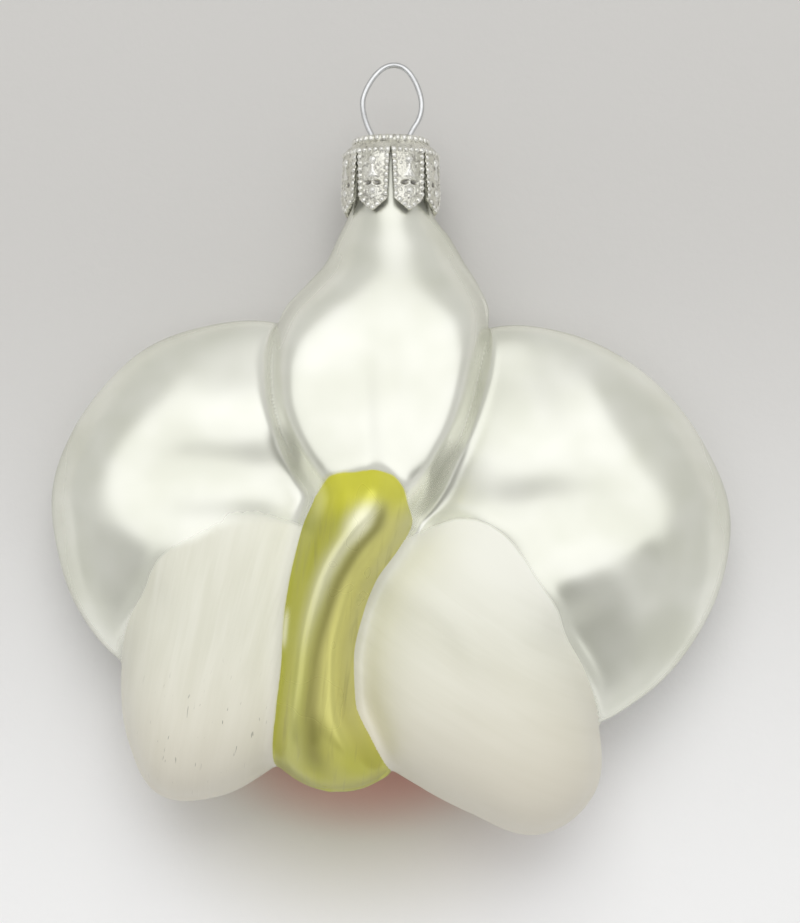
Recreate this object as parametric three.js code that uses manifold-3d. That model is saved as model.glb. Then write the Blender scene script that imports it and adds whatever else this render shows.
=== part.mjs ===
// Blown-glass moth orchid ornament with a stamped metal crown cap and a wire hanging loop.
// Millimetres, +Z up, the flower faces -Y. The origin is the top of the inside of the wire loop.

import * as THREE from 'three';
import Module from 'manifold-3d';
import { mergeVertices } from 'three/addons/utils/BufferGeometryUtils.js';

const wasm = await Module();
wasm.setup();
const { Manifold, Mesh } = wasm;

// driving dimensions
const glassWall = 1.0;
const neckTopZ = -10.15;
const neckRadius = 4.3;
const capTopZ = -9.45;
const capSheet = 0.35;
const capTabs = 8;
const wireRadius = 0.35;
const wireSlotX = 2.4;

// Petals and lower sepals: centre, sixteen outline radii taken anticlockwise from +X at even angles,
// fullness in front and behind, and how square the swell is.
const petalLeft = {
  centre: [-24.5, -55.6],
  radii: [23, 24, 25.8, 24.9, 21.7, 20.3, 19.2, 19.3, 20.3, 21.2, 23.1, 25, 24.5, 22, 21.5, 22],
  front: 10.5, back: 8, power: 2.4, side: -1, valleyRise: 1.2,
};
const petalRight = {
  centre: [22.9, -58.2],
  radii: [21.9, 20.5, 20.4, 21.4, 23.4, 26.6, 26.5, 24.5, 23, 21.5, 21, 24, 28.3, 26.3, 24.1, 22.8],
  front: 11, back: 8.5, power: 2.4, side: 1, valleyRise: -1,
};
const sepalLeft = {
  centre: [-22.3, -76.7],
  radii: [16.5, 18, 22.2, 24.3, 24.6, 22, 16.8, 13.6, 12.7, 13.8, 16.4, 19.7, 18.4, 16.5, 15.8, 15.8],
  front: 12.5, back: 7, power: 2.6,
};
const sepalRight = {
  centre: [10.4, -78.6],
  radii: [15.8, 15.6, 18.8, 21.4, 21.8, 20.2, 18.6, 17.2, 16.3, 16, 16.5, 16.6, 18.6, 23.1, 22.6, 17.9],
  front: 13.5, back: 7.5, power: 2.6,
};

// Neck and upper sepal, one strand: height, left edge, right edge, front depth, back depth, squareness.
const upperSepal = [
  [neckTopZ, -neckRadius, neckRadius, neckRadius, neckRadius, 2],
  [-13, -4.6, 4.6, 4.6, 4.6, 2],
  [-16, -4.85, 4.85, 4.85, 4.85, 2],
  [-18.5, -5.2, 5.25, 5.25, 5.25, 2],
  [-19.6, -5.6, 5.65, 5.6, 5.6, 2],
  [-22.5, -7, 7.8, 7.2, 6.9, 2.05],
  [-25.8, -8.6, 9.7, 8.5, 7.6, 2.2],
  [-28.6, -11, 11.4, 9.5, 8.1, 2.6],
  [-32.4, -14.4, 13.1, 10.7, 8.6, 3.2],
  [-36, -15.9, 13.6, 11.6, 8.8, 3.6],
  [-39.5, -16.4, 13.4, 12.4, 9, 4.1],
  [-44, -16, 12.9, 13.2, 8.9, 4.3],
  [-48, -14.8, 11.4, 13.8, 8.6, 4.3],
  [-52, -12.6, 9, 14.3, 8, 4],
  [-55.5, -10.4, 6.4, 14.5, 6.4, 3],
  [-59, -7.2, 3.2, 11, 4, 2.4],
  [-61.6, -2.5, -2.5, 0, 0, 2],
];

// Lip, a strand too.
const lip = [
  [-52.4, -3.2, -3.2, 0, 0, 2.6],
  [-52.8, -6.6, 0.4, 13.2, 1, 2.6],
  [-53.8, -8, 1.6, 15.3, 2.3, 2.6],
  [-55.8, -9.3, 2.3, 16.5, 4, 2.6],
  [-59.6, -11.2, 2.6, 17.2, 5, 2.7],
  [-62.8, -12.3, 1.2, 17.2, 5.6, 2.8],
  [-67, -13.4, -1.7, 17, 6.1, 2.8],
  [-71, -14, -3.3, 16.8, 6.4, 2.8],
  [-76.7, -14.3, -4.5, 16.5, 6.5, 2.8],
  [-82, -14.9, -4.3, 15.8, 6.2, 2.8],
  [-87.2, -15.4, -1.9, 14.1, 5.6, 2.8],
  [-90.5, -14.9, 0, 12, 4.9, 2.8],
  [-92.5, -13.4, 0.3, 9.5, 4, 2.8],
  [-94.1, -11.4, -1.7, 6.6, 2.8, 2.7],
  [-95.1, -9.1, -4.1, 3.6, 1.5, 2.6],
  [-95.6, -6.8, -6.8, 0, 0, 2.6],
];

// Lip relief: height, crest place and valley place across the lip (-1 left edge, 1 right edge), valley width.
const lipRelief = [
  [-54, 0.25, 0.5, 0.12],
  [-59.1, 0.12, 0.4, 0.15],
  [-64, -0.12, 0.18, 0.18],
  [-68.9, -0.16, 0.18, 0.22],
  [-73.9, -0.28, 0.12, 0.25],
  [-81.3, -0.38, 0.02, 0.28],
  [-88.7, -0.45, -0.16, 0.28],
  [-95.6, -0.5, -0.2, 0.3],
];

// A 0 to 1 step with soft ends.
function softStep(t) {
  const c = Math.min(Math.max(t, 0), 1);
  return c * c * (3 - 2 * c);
}

// Closed smooth curve through radii at even angles.
function outlineRadius(radii, angle) {
  const n = radii.length;
  const t = (((angle / (2 * Math.PI)) % 1) + 1) % 1 * n;
  const i = Math.floor(t);
  const f = t - i;
  const [a, b, c, d] = [-1, 0, 1, 2].map((k) => radii[(i + k + n) % n]);
  return b + 0.5 * f * (c - a + f * (2 * a - 5 * b + 4 * c - d + f * (3 * (b - c) + d - a)));
}

// Value of one column of a table at height z, by a curve that never overshoots its keys.
function along(table, column, z) {
  const last = table.length - 1;
  if (z >= table[0][0]) return table[0][column];
  if (z <= table[last][0]) return table[last][column];
  let i = 0;
  while (table[i + 1][0] > z) i += 1;
  const slope = (k) => (table[k + 1][column] - table[k][column]) / (table[k + 1][0] - table[k][0]);
  const tangent = (k) => {
    if (k === 0) return slope(0);
    if (k === last) return slope(last - 1);
    const p = slope(k - 1);
    const q = slope(k);
    return p * q <= 0 ? 0 : (2 * p * q) / (p + q);
  };
  const h = table[i + 1][0] - table[i][0];
  const t = (z - table[i][0]) / h;
  const keep = (1 + 2 * t) * (1 - t) ** 2 * table[i][column];
  const next = t * t * (3 - 2 * t) * table[i + 1][column];
  return keep + next + t * (1 - t) * h * ((1 - t) * tangent(i) - t * tangent(i + 1));
}

// How far the flower's foot comes forward.
function forwardLean(z) {
  return 4.5 * softStep((-60 - z) / 38);
}

// Swell of a petal at a point, from how far out it lies: 0 at the centre, 1 on the outline.
// The side petals are folded along a level valley and don't lean forward.
function petalHeight(petal, x, z, out, inset, face) {
  const dome = (petal[face] - inset) * Math.sqrt(Math.max(1 - out ** petal.power, 0));
  if (!petal.side) return dome;
  const outward = petal.side * (x - petal.centre[0]);
  const up = z - petal.centre[1];
  const lowered = dome * (1 - 0.3 * softStep((-outward - 4) / 20));
  if (face === 'back') return lowered;
  const swell = lowered * (1 - 0.016 * Math.max(up, -4));
  const wander = petal.valleyRise + 0.9 * Math.sin(0.31 * outward + 1) - 0.05 * outward;
  const valley = 2.4 * Math.exp(-(((up - wander) / 5.8) ** 2)) * softStep((15 - outward) / 14);
  return swell - (valley + forwardLean(z)) * Math.min(swell / 6, 1);
}

// Raised crest and long valley of the lip, at a place across it from -1 to 1.
function lipFold(u, z, swell) {
  const crest = 1.2 * Math.exp(-(((u - along(lipRelief, 1, z)) / 0.22) ** 2));
  const fade = softStep((-56 - z) / 6) * softStep((z + 95) / 6);
  const valley = 2 * fade * Math.exp(-(((u - along(lipRelief, 2, z)) / along(lipRelief, 3, z)) ** 2));
  return (crest - valley) * Math.min(swell / 8, 1);
}

// The flower's mid-surface: its foot comes forward and the petal tips go back.
function middleY(x, z) {
  return 1.5 * (x / 45) ** 2 - forwardLean(z);
}

function toManifold(geometry) {
  const bare = geometry.clone();
  bare.deleteAttribute('normal');
  bare.deleteAttribute('uv');
  const merged = mergeVertices(bare, 1e-5);
  const vertProperties = new Float32Array(merged.attributes.position.array);
  const triVerts = new Uint32Array(merged.index.array);
  return new Manifold(new Mesh({ numProp: 3, vertProperties, triVerts }));
}

function toGeometry(solid) {
  const mesh = solid.getMesh();
  const geometry = new THREE.BufferGeometry();
  geometry.setAttribute('position', new THREE.BufferAttribute(new Float32Array(mesh.vertProperties), 3));
  geometry.setIndex(new THREE.BufferAttribute(new Uint32Array(mesh.triVerts), 1));
  geometry.computeVertexNormals();
  return geometry;
}

// Closed body from rings of points, one after another, with a point to close each end.
function ringBody(first, rings, last) {
  const points = [first, ...rings.flat(), last];
  const n = rings[0].length;
  const faces = [];
  const at = (ring, k) => 1 + ring * n + (k % n);
  for (let k = 0; k < n; k += 1) {
    faces.push(0, at(0, k), at(0, k + 1));
    for (let r = 0; r + 1 < rings.length; r += 1) {
      faces.push(at(r, k), at(r + 1, k), at(r, k + 1));
      faces.push(at(r, k + 1), at(r + 1, k), at(r + 1, k + 1));
    }
    faces.push(at(rings.length - 1, k), points.length - 1, at(rings.length - 1, k + 1));
  }
  const geometry = new THREE.BufferGeometry();
  geometry.setAttribute('position', new THREE.Float32BufferAttribute(points.flat(), 3));
  geometry.setIndex(faces);
  return toManifold(geometry);
}

// One petal: rings grow from the middle of its front to its outline and shrink again behind.
function petalBody(petal, inset, around, frontRings, backRings) {
  const point = (out, angle, face) => {
    const r = out * (outlineRadius(petal.radii, angle) - inset);
    const x = petal.centre[0] + r * Math.cos(angle);
    const z = petal.centre[1] + r * Math.sin(angle);
    const sign = face === 'front' ? -1 : 1;
    return [x, middleY(x, z) + sign * petalHeight(petal, x, z, out, inset, face), z];
  };
  const ring = (out, face) => {
    const angles = Array.from({ length: around }, (_, k) => (2 * Math.PI * k) / around);
    return angles.map((angle) => point(out, angle, face));
  };
  const rings = [];
  for (let j = 1; j <= frontRings; j += 1) {
    rings.push(ring(Math.sin((Math.PI * j) / (2 * frontRings)), 'front'));
  }
  for (let j = backRings - 1; j > 0; j -= 1) {
    rings.push(ring(Math.sin((Math.PI * j) / (2 * backRings)), 'back'));
  }
  return ringBody(point(0, 0, 'front'), rings, point(0, 0, 'back'));
}

// One strand: a superellipse ring at each height, with a fold across its front if given.
function strandBody(strand, heights, around, inset, fold) {
  const ring = (z) => {
    const left = along(strand, 1, z) + inset;
    const right = along(strand, 2, z) - inset;
    const rounding = 2 / along(strand, 5, z);
    const spots = Array.from({ length: around }, (_, k) => (2 * Math.PI * k) / around);
    return spots.map((spot) => {
      const u = Math.sign(Math.cos(spot)) * Math.abs(Math.cos(spot)) ** rounding;
      const x = (left + right + u * (right - left)) / 2;
      const front = Math.sin(spot) < 0;
      const depth = (along(strand, front ? 3 : 4, z) - inset) * Math.abs(Math.sin(spot)) ** rounding;
      const swell = front && fold ? depth + fold(u, z, depth) : depth;
      return [x, middleY(x, z) + (front ? -swell : swell), z];
    });
  };
  const middle = (z) => {
    const x = (along(strand, 1, z) + along(strand, 2, z)) / 2;
    return [x, middleY(x, z), z];
  };
  return ringBody(middle(heights[0]), heights.map(ring), middle(heights[heights.length - 1]));
}

function evenSteps(from, to, count) {
  return Array.from({ length: count + 1 }, (_, k) => from + ((to - from) * k) / count);
}

// GLASS: six blown lobes in one, hollow all through and open at the neck
const petals = [petalLeft, petalRight, sepalLeft, sepalRight];
const neckHeights = [neckTopZ, -12, -15, -18, -20.5, -23];
const outerUpperHeights = [...neckHeights, ...evenSteps(-25.5, -57, 13), -59, -60.8];
const outerLipHeights = [-52.5, -52.9, -53.7, ...evenSteps(-55, -91, 15), -93, -94.4, -95.2];
const outside = Manifold.union([
  ...petals.map((petal) => petalBody(petal, 0, 40, 8, 4)),
  strandBody(upperSepal, outerUpperHeights, 32, 0),
  strandBody(lip, outerLipHeights, 32, 0, lipFold),
]);
const innerUpperHeights = [neckTopZ + 1, -12, -16, -19.6, -23, ...evenSteps(-27, -55, 7)];
const innerLipHeights = [-55, ...evenSteps(-57.5, -90, 8), -92.3];
const hollow = Manifold.union([
  ...petals.map((petal) => petalBody(petal, glassWall, 20, 4, 3)),
  strandBody(upperSepal, innerUpperHeights, 16, glassWall),
  strandBody(lip, innerLipHeights, 16, glassWall, lipFold),
  toManifold(new THREE.SphereGeometry(1, 16, 8).scale(8, 2.2, 5).translate(-4, -0.5, -60)),
]);
const glassShape = outside.subtract(hollow);

// CROWN CAP: one stamped sheet, a disc with a skirt of tabs, two slots and raised beading
const skirtRadius = [
  [capTopZ, 4.8],
  [-10.15, 4.95],
  [-11.1, 5.9],
  [-11.6, 6.15],
  [-14.5, 6.28],
  [-17.4, 6.36],
  [-19.5, 6.3],
];
const capProfile = [
  [0, capTopZ],
  [4.6, capTopZ],
  ...skirtRadius.map(([z, r]) => [r, Math.min(z, capTopZ - 0.25)]),
  ...skirtRadius.toReversed().map(([z, r]) => [r - capSheet, Math.min(z, capTopZ - capSheet)]),
  [0, capTopZ - capSheet],
];
const capSection = capProfile.toReversed().map(([r, z]) => new THREE.Vector2(r, z));
const capSheetBody = toManifold(new THREE.LatheGeometry(capSection, 32).rotateX(Math.PI / 2));

function prismOnFront(outline, innerY, outerY) {
  const shape = new THREE.Shape(outline.map(([x, z]) => new THREE.Vector2(x, z)));
  const geometry = new THREE.ExtrudeGeometry(shape, { depth: innerY - outerY, bevelEnabled: false });
  return toManifold(geometry.rotateX(Math.PI / 2).translate(0, innerY, 0));
}

const gapHalf = [
  [0.12, -11.2],
  [0.45, -17.9],
  [1.37, -18.7],
  [2.5, -19.5],
  [2.5, -20.6],
];
const gapOutline = [...gapHalf.map(([x, z]) => [-x, z]), ...gapHalf.toReversed()];
const gapCutter = prismOnFront(gapOutline, -4.8, -8.5);
const tabAngles = Array.from({ length: capTabs }, (_, k) => (360 / capTabs) * (k + 0.5));
const gapCutters = tabAngles.map((angle) => gapCutter.rotate([0, 0, angle + 180 / capTabs]));
const slotCutters = [-wireSlotX, wireSlotX].map((x) =>
  toManifold(new THREE.BoxGeometry(1.7, 1.4, 2).translate(x, 0, capTopZ)),
);

// A raised bead on the skirt, at a distance along the tab from its middle and a height.
const beadRise = 0.25;
const beadRoot = 0.12;
function bead(size, tall, aside, z, angle) {
  const r = along(skirtRadius, 1, z);
  const turn = (aside / r) * (180 / Math.PI) + angle;
  const point = new THREE.ConeGeometry(size, beadRise + beadRoot, tall > 1 ? 6 : 4).rotateX(Math.PI);
  const shape = toManifold(point.scale(1, 1, tall));
  return shape.translate([0, -r - (beadRise - beadRoot) / 2, z]).rotate([0, 0, turn]);
}

const beadSize = 0.42;
const edgeBeads = [];
for (let k = 0; k < 6; k += 1) {
  const z = -11.8 - 1.15 * k;
  edgeBeads.push([1.95 - 0.04 * k, z], [-1.95 + 0.04 * k, z]);
}
[-1, 1].forEach((way) => edgeBeads.push([way * 0.7, -11.8], [way * 1.2, -18.2], [way * 0.6, -18.65]));
edgeBeads.push([0, -19]);
const tabBeads = tabAngles.flatMap((angle) => [
  ...edgeBeads.map(([aside, z]) => bead(beadSize, 1, aside, z, angle)),
  bead(0.62, 1.05, 0, -12.95, angle),
  bead(0.5, 1.3, -0.75, -14.6, angle),
  bead(0.5, 1.3, 0.75, -14.6, angle),
  bead(0.65, 1.4, 0, -16.95, angle),
]);
const rimBead = toManifold(new THREE.OctahedronGeometry(0.4, 0).translate(0, -4.75, capTopZ - 0.35));
const rimBeadCount = 34;
const rimBeadAngles = Array.from({ length: rimBeadCount }, (_, k) => (360 * k) / rimBeadCount);
const rimBeads = rimBeadAngles.map((angle) => rimBead.rotate([0, 0, angle]));
const capShape = Manifold.union([capSheetBody, ...rimBeads])
  .subtract(Manifold.union([...gapCutters, ...slotCutters]))
  .add(Manifold.union(tabBeads));

// WIRE: one spring wire, the loop above the cap and two legs that spread inside the neck
const wireLine = [
  [-5.35, -23.4],
  [-4.05, -20.2],
  [-2.95, -17],
  [-2.35, -14],
  [-2.25, -11.6],
  [-2.45, -9.2],
  [-3.05, -7.75],
  [-3.48, -6.5],
  [-3.72, -5.2],
  [-3.7, -4.2],
  [-3.4, -3.2],
  [-2.85, -2.1],
  [-2.05, -0.98],
  [-1, -0.05],
  [0.2, 0.35],
  [1.4, 0.15],
  [2.3, -0.5],
  [3.1, -1.65],
  [3.68, -3],
  [4.02, -4.5],
  [3.95, -5.8],
  [3.55, -7],
  [2.9, -8.05],
  [2.35, -9.3],
  [2.25, -11.6],
  [2.35, -14],
  [2.95, -17],
  [4.05, -20.2],
  [5.35, -23.4],
];
const wirePoints = wireLine.map(([x, z]) => new THREE.Vector3(x, 0, z));
const wireSection = new THREE.Shape(
  Array.from({ length: 8 }, (_, k) => {
    const angle = (Math.PI * k) / 4;
    return new THREE.Vector2(wireRadius * Math.cos(angle), wireRadius * Math.sin(angle));
  }),
);
const wireShape = toManifold(
  new THREE.ExtrudeGeometry(wireSection, {
    steps: 52,
    bevelEnabled: false,
    extrudePath: new THREE.CatmullRomCurve3(wirePoints, false, 'centripetal'),
  }),
);

const group = new THREE.Group();
function add(name, solid, color) {
  const mesh = new THREE.Mesh(toGeometry(solid), new THREE.MeshStandardMaterial({ color }));
  mesh.name = name;
  group.add(mesh);
}

add('glass_bloom', glassShape, 0xeeeee6);
add('crown_cap', capShape, 0xc8c8c8);
add('wire_hanger', wireShape, 0x9a9a9c);

export default group;
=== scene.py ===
"""Looks of the blown-glass orchid ornament: lacquered glass bloom, stamped crown cap and wire loop.

Shapes are worked out in millimetres in the part's own frame and written to the meshes in metres.
The bloom faces -Y, +Z is up and the origin is the top of the inside of the wire loop.
"""

import math

import bpy
import numpy as np
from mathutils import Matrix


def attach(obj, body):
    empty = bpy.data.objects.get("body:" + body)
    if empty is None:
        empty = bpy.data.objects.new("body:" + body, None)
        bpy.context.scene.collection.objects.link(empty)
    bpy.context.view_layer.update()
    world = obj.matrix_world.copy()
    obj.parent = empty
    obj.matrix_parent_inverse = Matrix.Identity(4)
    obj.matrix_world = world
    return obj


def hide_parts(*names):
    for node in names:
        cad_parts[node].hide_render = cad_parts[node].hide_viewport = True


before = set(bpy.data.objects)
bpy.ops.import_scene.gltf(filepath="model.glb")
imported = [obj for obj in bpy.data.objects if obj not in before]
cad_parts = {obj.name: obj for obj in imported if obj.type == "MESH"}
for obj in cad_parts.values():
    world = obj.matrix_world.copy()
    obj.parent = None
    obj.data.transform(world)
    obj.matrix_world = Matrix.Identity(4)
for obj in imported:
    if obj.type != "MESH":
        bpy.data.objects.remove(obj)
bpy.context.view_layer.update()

bl_info = {
    "name": "Blown-glass orchid ornament",
    "version": (1, 0, 0),
    "blender": (4, 5, 0),
    "location": "View3D > Sidebar > Ornament",
    "description": "Builds the lacquered glass bloom, its crown cap, wire loop and photo stage",
    "category": "Object",
}

# Sizes shared by the pieces, in millimetres
NECK_TOP = -10.15
NECK_RADIUS = 4.3
CENTRE_Z = -56.9
GRID_X = (-50.0, 50.0)
GRID_Z = (-106.0, -6.0)
GRID_STEP = 0.2
CREASE_SPREAD = 1.0
FILLETS = {"petals": 1.6, "upper": 3.4, "lower": 1.1, "lip": 1.0}
PETAL_DEPTH = 9.5
PETAL_TOP_FALL = 2.2
LIP_CREST = 1.2
LIP_VALLEY = 2.0
CAP_TOP = -9.45
RIM_BEADS = 34
RIM_BEAD_Z = -9.88
RIM_BEAD_RADIUS = 0.33
TAB_COUNT = 8
TAB_TOP = -11.1
TAB_SHOULDER = -17.9
TAB_TIP = -19.5
TAB_BEAD = 0.34
TAB_FIRST_BEAD = -11.62
PAPER_Y = 9.8
PAPER_BEND = 200.0

# Camera, in metres, with its lens in millimetres
CAMERA_PLACE = (0.00119, -0.25, -0.05185)
CAMERA_LENS = 74.0

# Rays of each skin: over the neck's rim, beside the neck on each side, under the lip, elsewhere.
# Rings of each skin: in front, behind
OUTER_RAYS, OUTER_RINGS = (24, 84, 130, 236), (132, 30)
INNER_RAYS, INNER_RINGS = (24, 20, 30, 60), (30, 12)

# Hand-blown waves: height, longest, shortest, count, seed
PETAL_WAVES = (0.07, 13, 6, 7, 11)
DIMPLES = (0.05, 4.2, 2.0, 9, 12)
LOWER_WAVES = (0.05, 16, 7, 6, 13)
UPPER_WAVES = (0.03, 12, 6, 6, 14)

# Place across a strand that is given to points beyond its ends
BEYOND = 9.0

# Petals and lower sepals: centre, sixteen outline radii anticlockwise from +X at even angles,
# fullness in front and behind, how square the swell is. A side petal also has its side, the rise
# and depth of its valley and the fall of its outer corner. A rolled edge is an arc: x, z, radius
PETAL_LEFT = {
    "centre": (-24.5, -55.6),
    "radii": (23, 24, 25.6, 23.9, 21.6, 20.3, 19.2, 19.3, 20.3, 21.2, 23.1, 25, 24.5, 22, 21.5, 22),
    "front": 10.5, "back": 8.0, "power": 2.4, "side": -1.0, "valley_rise": 1.0, "valley": 2.2, "fall": 1.0,
}
PETAL_RIGHT = {
    "centre": (22.9, -58.2),
    "radii": (21.9, 20.5, 20.4, 21.4, 23.4, 25.9, 26.5, 24.5, 23, 21.5, 21, 24, 28.3, 26.3, 24.1, 22.8),
    "front": 11.0, "back": 8.5, "power": 2.4, "side": 1.0, "valley_rise": -1.0, "valley": 1.8, "fall": 1.6,
}
SEPAL_LEFT = {
    "centre": (-22.3, -76.7),
    "radii": (16.5, 17.6, 22.2, 23, 23.2, 21.3, 15, 13.2, 12.7, 13.8, 16.4, 19.7, 18.4, 16.5, 15.8, 15.8),
    "front": 12.5, "back": 7.0, "power": 3.2,
}
SEPAL_RIGHT = {
    "centre": (10.4, -78.6),
    "radii": (15.2, 14.3, 17.7, 20.5, 21.4, 19.3, 18.6, 17.2, 16.3, 16, 16.5, 16.6, 18.6, 23.1, 22.6, 17.9),
    "front": 13.5, "back": 7.5, "power": 3.0, "roll": (-3.0, -80.0, 13.7),
}

# Neck and upper sepal: height, left edge, right edge, front depth, back depth, squareness
UPPER_SEPAL = np.array([
    (-10.15, -4.3, 4.3, 4.3, 4.3, 2.0),
    (-13, -4.6, 4.6, 4.6, 4.6, 2.0),
    (-16, -4.85, 4.85, 4.85, 4.85, 2.0),
    (-18.5, -5.2, 5.25, 5.25, 5.25, 2.0),
    (-19.6, -5.6, 5.65, 5.5, 5.6, 2.0),
    (-22.5, -7.0, 7.8, 6.5, 6.9, 2.05),
    (-25.8, -8.6, 9.7, 7.8, 7.6, 2.2),
    (-28.6, -11, 11.4, 9.0, 8.1, 2.6),
    (-32.4, -14.1, 12.8, 10.5, 8.6, 3.7),
    (-36, -15.1, 12.4, 11.6, 8.8, 5.2),
    (-39.5, -15.3, 11.6, 12.4, 9, 7.0),
    (-44, -15.0, 10.5, 13.2, 8.9, 8.0),
    (-48, -13.9, 9.2, 13.8, 8.6, 7.5),
    (-52, -12.0, 7.2, 14.3, 8, 6.0),
    (-55.5, -10.4, 5.8, 14.5, 6.4, 3.0),
    (-59, -7.2, 3.2, 11, 4, 2.4),
    (-61.6, -2.5, -2.5, 0, 0, 2.0),
])

# Lip: height, left edge, right edge, front depth, back depth, squareness
LIP = np.array([
    (-52.4, -4.4, -4.4, 0, 0, 4.0),
    (-52.8, -8.0, 0.4, 13.2, 1, 4.0),
    (-53.8, -9.2, 1.9, 15.3, 2.3, 3.9),
    (-55.8, -9.5, 2.9, 16.5, 4, 3.4),
    (-59.6, -11.2, 2.8, 17.2, 5, 2.8),
    (-62.8, -12.3, 1.2, 17.2, 5.6, 2.8),
    (-67, -13.4, -1.7, 17, 6.1, 2.8),
    (-71, -14.0, -3.3, 16.8, 6.4, 2.8),
    (-76.7, -14.3, -4.5, 16.5, 6.5, 2.8),
    (-82, -14.9, -4.3, 15.8, 6.2, 2.8),
    (-87.2, -15.4, -1.9, 14.1, 5.6, 2.8),
    (-89.8, -15.0, -0.6, 12, 4.9, 2.8),
    (-91.5, -13.6, 0.1, 9.5, 4, 2.8),
    (-93.0, -11.5, -1.8, 6.6, 2.8, 2.7),
    (-94.0, -9.1, -4.1, 3.6, 1.5, 2.6),
    (-94.5, -6.8, -6.8, 0, 0, 2.6),
])

# Lip relief: height, crest place, valley place (-1 left edge, 1 right edge), valley width
LIP_FOLD = np.array([
    (-54, 0.25, 0.5, 0.12),
    (-59.1, 0.12, 0.4, 0.15),
    (-64, -0.12, 0.18, 0.18),
    (-68.9, -0.16, 0.18, 0.22),
    (-73.9, -0.28, 0.12, 0.25),
    (-81.3, -0.38, 0.02, 0.28),
    (-88.7, -0.45, -0.16, 0.28),
    (-94.5, -0.5, -0.2, 0.3),
])

# Outer face of the cap: height, radius
CAP_FACE = np.array([
    (-9.45, 4.8),
    (-10.15, 4.95),
    (-11.1, 5.9),
    (-11.6, 6.15),
    (-14.5, 6.28),
    (-17.4, 6.36),
    (-19.5, 6.3),
])

# Wire, from the end of the left leg over the loop to the end of the right leg: x, z
WIRE_LINE = np.array([
    (-5.35, -23.4), (-4.05, -20.2), (-2.95, -17), (-2.35, -14), (-2.25, -11.6), (-2.45, -9.2),
    (-3.05, -7.75), (-3.48, -6.5), (-3.72, -5.2), (-3.7, -4.2), (-3.4, -3.2), (-2.85, -2.1),
    (-2.05, -0.98), (-1.0, -0.05), (0.2, 0.35), (1.4, 0.15), (2.3, -0.5), (3.1, -1.65),
    (3.68, -3.0), (4.02, -4.5), (3.95, -5.8), (3.55, -7), (2.9, -8.05), (2.35, -9.3),
    (2.25, -11.6), (2.35, -14), (2.95, -17), (4.05, -20.2), (5.35, -23.4),
])


def soft_step(t):
    """0 to 1 with level ends: t squared times (3 - 2 t), t held between 0 and 1."""
    t = np.clip(t, 0.0, 1.0)
    return t * t * (3.0 - 2.0 * t)


def bell(t):
    """Bell curve: e to the minus t squared."""
    return np.exp(-(t ** 2))


def ring_radius(radii, angle):
    """Closed Catmull-Rom curve through radii at even angles, read at each angle."""
    r = np.asarray(radii, float)
    n = len(r)
    t = np.mod(angle, 2 * np.pi) / (2 * np.pi) * n
    i = np.floor(t).astype(int)
    f = t - i
    a, b, c, d = r[(i - 1) % n], r[i % n], r[(i + 1) % n], r[(i + 2) % n]
    return b + 0.5 * f * (c - a + f * (2 * a - 5 * b + 4 * c - d + f * (3 * (b - c) + d - a)))


def along(table, column, z):
    """One column of a table at heights z: cubic Hermite pieces whose tangents are the harmonic
    mean of the two neighbouring slopes, so the curve never overshoots its keys."""
    zs = table[::-1, 0]
    vs = table[::-1, column]
    slope = np.diff(vs) / np.diff(zs)
    before, after = slope[:-1], slope[1:]
    same = before * after > 0
    total = np.where(same, before + after, 1.0)
    tangent = np.concatenate([slope[:1], np.where(same, 2 * before * after / total, 0.0), slope[-1:]])
    zz = np.clip(z, zs[0], zs[-1])
    i = np.clip(np.searchsorted(zs, zz, side="right") - 1, 0, len(zs) - 2)
    h = zs[i + 1] - zs[i]
    t = (zz - zs[i]) / h
    keep = (1 + 2 * t) * (1 - t) ** 2 * vs[i] + t * t * (3 - 2 * t) * vs[i + 1]
    return keep + t * (1 - t) * h * ((1 - t) * tangent[i] - t * tangent[i + 1])


def petal_out(petal, x, z, inset):
    """How far out a point lies in a petal: distance from its centre over the outline radius."""
    dx = x - petal["centre"][0]
    dz = z - petal["centre"][1]
    return np.hypot(dx, dz) / (ring_radius(petal["radii"], np.arctan2(dz, dx)) - inset)


def rolled_edge(petal, x, z, dome):
    """A low round ridge along an arc, with the sepal sunk a little inside it."""
    if "roll" not in petal:
        return 0.0
    at_x, at_z, radius = petal["roll"]
    gap = np.hypot(x - at_x, z - at_z) - radius
    fade = soft_step((z + 84) / 10) * np.clip(dome / 6, 0, 1)
    return fade * (0.45 * bell(gap / 1.1) - 0.5 * soft_step(-gap / 3))


def forward_lean(z):
    """How far the flower's foot comes forward."""
    return 4.5 * soft_step((-60 - z) / 38)


def petal_height(petal, x, z, inset, face):
    """Dome: fullness times the root of (1 - out to the power). A side petal is lower towards the
    flower's middle. In front it is fuller below than above, and loses a share of its height in a
    level valley, at its outer lower corner and at its inner top, and as much as the foot leans."""
    out = petal_out(petal, x, z, inset)
    dome = (petal[face] - inset) * np.sqrt(np.clip(1 - out ** petal["power"], 0, None))
    if "side" not in petal:
        return dome + rolled_edge(petal, x, z, dome) * (face == "front")
    outward = petal["side"] * (x - petal["centre"][0])
    up = z - petal["centre"][1]
    lowered = dome * (1 - 0.3 * soft_step((-outward - 4) / 20))
    if face == "back":
        return lowered
    swell = lowered * (1 - 0.016 * np.maximum(up, -4))
    inner = soft_step((2 - outward) / 8)
    line = petal["valley_rise"] + 0.9 * np.sin(0.31 * outward + 1.0) - 0.05 * outward + 0.7 * inner
    valley = petal["valley"] * (1 + 0.15 * inner) * soft_step((15 - outward) / 14)
    fall = petal["fall"] * soft_step((0.55 * (outward - 6.5) - 3 - up) / 11)
    top = PETAL_TOP_FALL * soft_step((up - 6) / 16) * soft_step((5 - outward) / 9)
    loss = valley * bell((up - line) / 5.8) + fall + top + forward_lean(z)
    return swell * (1 - loss / PETAL_DEPTH)


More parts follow.
